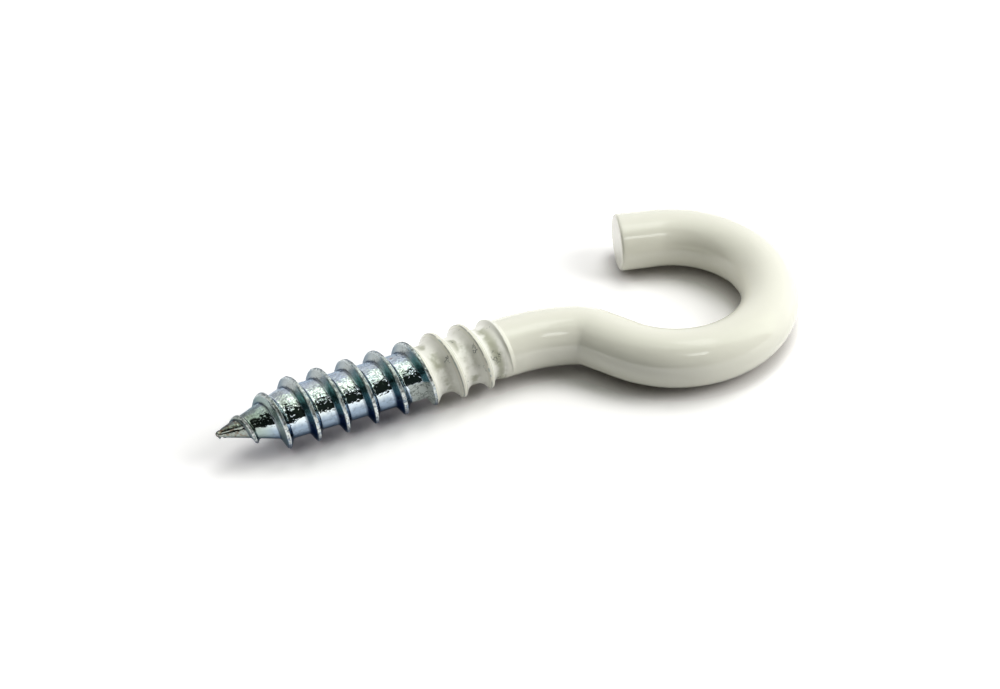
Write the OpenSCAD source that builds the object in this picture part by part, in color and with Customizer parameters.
// Screw hook: one bent steel wire with a rolled wood-screw thread and a thin white
// dip coat over the hook, the shank and the last turns of the thread.
// It is drawn along +X, from the gimlet point at x = 0 to the loop, and then laid down
// as it rests on a table: on the crest of one thread turn and on the far side of the loop.

/* [Wire] */
// Diameter of the bare wire
wire_d = 4; // [3.7:0.1:4.4]
// Length of the straight shank, from the point to where the wire starts to curve
straight_l = 22.3; // [22:0.1:28]

/* [Thread] */
// Diameter over the thread's crests
thread_d = 5; // [4.7:0.1:5.4]
// Diameter of the core between the crests
core_d = 3.6; // [3.3:0.1:3.7]
// Distance from one crest to the next
pitch = 2.15; // [1.9:0.05:2.5]
// Length of the thread, from the point to where its groove ends
thread_l = 22; // [20:0.2:22.6]
// Distance from the point to the first crest, on the side of +Y
first_crest = 1.27; // [0.4:0.1:2]
// Width of the flat top of the ridge
crest_w = 0.18; // [0.1:0.02:0.3]
// Slope of each side of the ridge, measured from straight up
flank_a = 27; // [20:1:32]
// Hollow at the foot of the ridge
foot_round = 0.1; // [0.04:0.02:0.2]
// Length over which the groove gets shallow and the ridge sinks into the shank
runout_l = 3; // [2.6:0.2:5]

/* [Gimlet point] */
// Length of the core's cone
cone_l = 5.1; // [4:0.1:7]
// Length over which the ridge grows to its full height
grow_l = 5; // [4.5:0.1:7]
// Diameter of the blunt tip
tip_d = 0.34; // [0.2:0.02:0.6]

/* [Hook] */
// Angle of the gentle curve in which the shank leaves its axis
sweep_a = 22; // [16:1:26]
// Radius of this gentle curve, to the middle of the wire
sweep_r = 12; // [9:0.5:14]
// Angle of the tight bend that follows it, at the neck
neck_a = 33.5; // [28:0.5:38]
// Radius of the bare wire's inner side at the neck bend
neck_r = 0.6; // [0.4:0.1:1]
// Inner diameter of the bare loop
loop_d = 9.8; // [9:0.2:12]
// Direction from the loop's centre to where its round ends, measured from +X
loop_end_a = 75.5; // [50:0.5:85]
// Length of the straight tail behind the round
tail_l = 2.6; // [1:0.1:4]
// Rounding of the rim at the wire's cut end
rim_r = 0.1; // [0.1:0.05:0.6]
// How much the wire's radius shrinks where it is bent
bend_thin = 0.01; // [0.005:0.005:0.03]

/* [White coat] */
// Thickness of the coat on plain wire
coat_t = 0.1; // [0.06:0.01:0.16]
// Thickness of the coat on the thread's crests
crest_coat_t = 0.04; // [0.02:0.01:0.08]
// Coat that gathers at the foot of the ridge
foot_fill = 0.3; // [0.2:0.02:0.36]
// Distance from the point to the coat's edge, on the axis
coat_start = 15; // [12:0.1:18]
// Direction in which the coat's edge keeps to a crest, measured from +Y over the top
edge_side_a = 137; // [90:1:180]

/* [Hidden] */
$fn = 96;

// Flat sides round the thread, and the least step along its axis
sides = 32;
least_step = 0.03;
// How deep the ends of the thread's ridge and of the run-out lie under the surface
bury = 0.1;
// How far a straight piece reaches into the bend beside it
lap = 0.05;
// Heights of the ridge's lengthwise edges, as shares of its full height
steel_shares = [0, 0.12, 1, 1, 0.12, 0];
coat_shares = [0, 0.08, 0.3, 1, 1, 0.3, 0.08, 0];

wire_r = wire_d / 2;
coat_r = wire_r + coat_t;
bent_coat_r = coat_r - bend_thin;
thread_r = thread_d / 2;
core_r = core_d / 2;
tip_r = tip_d / 2;

// Radii of the bends, to the middle of the wire
neck_mid_r = neck_r + wire_r;
loop_mid_r = loop_d / 2 + wire_r;
// Both bends turn the wire away from its axis, and the straight neck behind them is as long
// as brings the loop's centre back onto this axis
turned_a = sweep_a + neck_a;
neck_l = (loop_mid_r * cos(turned_a) - sweep_r * (1 - cos(sweep_a))
          - neck_mid_r * (cos(sweep_a) - cos(turned_a))) / sin(turned_a);
loop_x = straight_l + sweep_r * sin(sweep_a) + neck_mid_r * (sin(turned_a) - sin(sweep_a))
       + neck_l * cos(turned_a) + loop_mid_r * sin(turned_a);

// The last crest of full height under the axis carries the screw end
full_turns = floor((thread_l - runout_l - first_crest) / pitch - 0.75);
rest_x = first_crest + pitch * (full_turns + 0.75);
rest_r = thread_r + (rest_x > coat_start ? crest_coat_t : 0);
rest_a = asin((rest_r - bent_coat_r) / (loop_x + loop_mid_r - rest_x));
rest_z = bent_coat_r + (loop_x + loop_mid_r) * sin(rest_a);
// Middle of the lying part, seen from above
coat_rim_r = rim_r + coat_t;
tail_top_y = loop_mid_r * sin(loop_end_a) + (tail_l + coat_t - coat_rim_r) * cos(loop_end_a)
           + (coat_r - coat_rim_r) * sin(loop_end_a) + coat_rim_r;
mid_x = ((loop_x + loop_mid_r) * cos(rest_a) + bent_coat_r) / 2;
mid_y = (tail_top_y - loop_mid_r - bent_coat_r) / 2;

// Radius of the core at x: a cone behind the tip, then the same to the end
function core_at(x) = min(core_r, tip_r + (core_r - tip_r) * x / cone_l);

// Radius of the crest at x: it grows behind the tip and sinks under the wire at the end
function crest_at(x) =
    let (fade = max(0, x - thread_l + runout_l) / runout_l)
    min(thread_r, 0.7 * tip_r + (thread_r - 0.7 * tip_r) * x / grow_l)
    - (thread_r - wire_r + bury) * pow(fade, 2);

// One closed skin round the core and its ridge, from x0 to x1. The ridge's edges run on
// from turn to turn. What would lie past an end is gathered into that end's ring.
module threaded_core(shares, x0, x1, core_t = 0, crest_t = 0, fill = foot_round) {
    rows = len(shares);
    first_turn = floor((x0 - first_crest) / pitch) - 1;
    last_turn = ceil((x1 - first_crest) / pitch) + 1;
    all_rows = rows * (last_turn - first_turn + 1);

    // Middle of the ridge, share of height, and place and radius at an edge of the ridge
    function middle(i, j) = first_crest + pitch * (first_turn + floor(j / rows) + i / sides);
    function height(x) = max(0, crest_at(x) + crest_t - core_at(x) - core_t);
    function share(j) = shares[j % rows];
    function edge_x(i, j) =
        let (x = middle(i, j), low = 1 - share(j))
        x + (j % rows < rows / 2 ? -1 : 1)
            * (crest_w / 2 + crest_t + low * height(x) * tan(flank_a) + fill * pow(low, 3));
    function edge_r(i, j) = core_at(edge_x(i, j)) + core_t + share(j) * height(middle(i, j));
    function ring(x) = [for (i = [0:sides - 1])
        [x, (core_at(x) + core_t) * cos(360 * i / sides), (core_at(x) + core_t) * sin(360 * i / sides)]];

    // Number of the corner at step i round the core and edge j along it
    function corner(i, j) =
        i == sides ? corner(0, j + rows)
        : edge_x(i, j) < x0 + least_step ? i
        : edge_x(i, j) > x1 - least_step ? sides + i
        : 2 * sides + i * all_rows + j;
    function is_real(t) = t[0] != t[1] && t[1] != t[2] && t[2] != t[0];

    points = concat(ring(x0), ring(x1), [for (i = [0:sides - 1], j = [0:all_rows - 1])
        [edge_x(i, j), edge_r(i, j) * cos(360 * i / sides), edge_r(i, j) * sin(360 * i / sides)]]);
    skin = [for (i = [0:sides - 1], j = [0:all_rows - rows - 2])
        let (a = corner(i, j), b = corner(i + 1, j), c = corner(i + 1, j + 1), d = corner(i, j + 1))
        for (t = [[a, c, b], [a, d, c]]) if (is_real(t)) t];
    ends = [[for (i = [0:sides - 1]) i], [for (i = [sides - 1:-1:0]) sides + i]];
    polyhedron(points, concat(skin, ends), convexity = 10);
}

// A straight round bar along +X, from x0 to x1
module bar(r, x0, x1) {
    translate([x0, 0, 0]) rotate([0, 90, 0]) cylinder(r = r, h = x1 - x0);
}

// A round bend that starts at the origin along +X and turns left through a
module bend(mid_r, r, a) {
    translate([0, mid_r, 0]) rotate([0, 0, -90])
        rotate_extrude(angle = a) translate([mid_r, 0]) circle(r - bend_thin);
}

// Moves what follows from the start of such a bend to its end
module past_bend(mid_r, a) {
    translate([0, mid_r, 0]) rotate([0, 0, a]) translate([0, -mid_r, 0]) children();
}

// The straight tail, which starts at the end of the loop and has a rounded rim at its cut end
module tail(r, l, rim) {
    corner_steps = 6;
    rotate([0, 90, 0]) rotate_extrude() polygon(concat([[0, -lap], [r, -lap]],
        [for (k = [0:corner_steps]) let (a = 90 * k / corner_steps)
            [r - rim + rim * cos(a), l - rim + rim * sin(a)]], [[0, l]]));
}

// The shank's start, a cone that lifts the groove's floor to the surface of the wire
module runout(r) {
    cone_x = thread_l - runout_l;
    rotate([0, 90, 0]) translate([0, 0, cone_x])
        cylinder(r1 = r - wire_r + core_r - bury, r2 = r, h = 0.75 * runout_l);
}

// The plain wire behind the thread: shank, gentle curve, neck bend, neck, loop and tail
module plain_wire(r, rim, extra_l) {
    shank_x = thread_l - 0.25 * runout_l;
    loop_a = 90 + turned_a + loop_end_a;
    runout(r);
    bar(r, shank_x, straight_l + lap);
    // The wire first bends to the right, so it is drawn mirrored, and the loop bends back
    translate([straight_l, 0, 0]) mirror([0, 1, 0]) {
        bend(sweep_r, r, sweep_a);
        past_bend(sweep_r, sweep_a) {
            bar(r, -lap, lap);
            bend(neck_mid_r, r, neck_a);
            past_bend(neck_mid_r, neck_a) {
                bar(r, -lap, neck_l + lap);
                translate([neck_l, 0, 0]) mirror([0, 1, 0]) {
                    bend(loop_mid_r, r, loop_a);
                    past_bend(loop_mid_r, loop_a) tail(r, tail_l + extra_l, rim);
                }
            }
        }
    }
}

// The whole wire, bare
module bare_wire() {
    threaded_core(steel_shares, 0, thread_l);
    plain_wire(wire_r, rim_r, 0);
}

// All that lies on the point's side of the coat's edge, a plane that leans with the thread
module point_side() {
    lean_a = atan(pitch / 4 / thread_r);
    size = 2 * thread_d + thread_l;
    translate([coat_start, 0, 0]) rotate([edge_side_a - 90, 0, 0]) rotate([0, lean_a, 0])
        translate([-size, -size / 2, -size / 2]) cube(size);
}

// Lays the part down as it rests, with its middle over the origin
module lying() {
    translate([-mid_x, -mid_y, rest_z]) rotate([0, rest_a, 0]) children();
}

// Bent and threaded steel wire, zinc plated
module steel_hook() {
    color([0.66, 0.7, 0.76]) lying() bare_wire();
}

// Thin white skin over the wire, with its inner side on the steel
module white_coating() {
    color([0.93, 0.93, 0.9]) lying() difference() {
        union() {
            threaded_core(coat_shares, coat_start - pitch, thread_l, coat_t, crest_coat_t, foot_fill);
            plain_wire(coat_r, coat_rim_r, coat_t);
        }
        point_side();
        bare_wire();
    }
}

steel_hook();
white_coating();
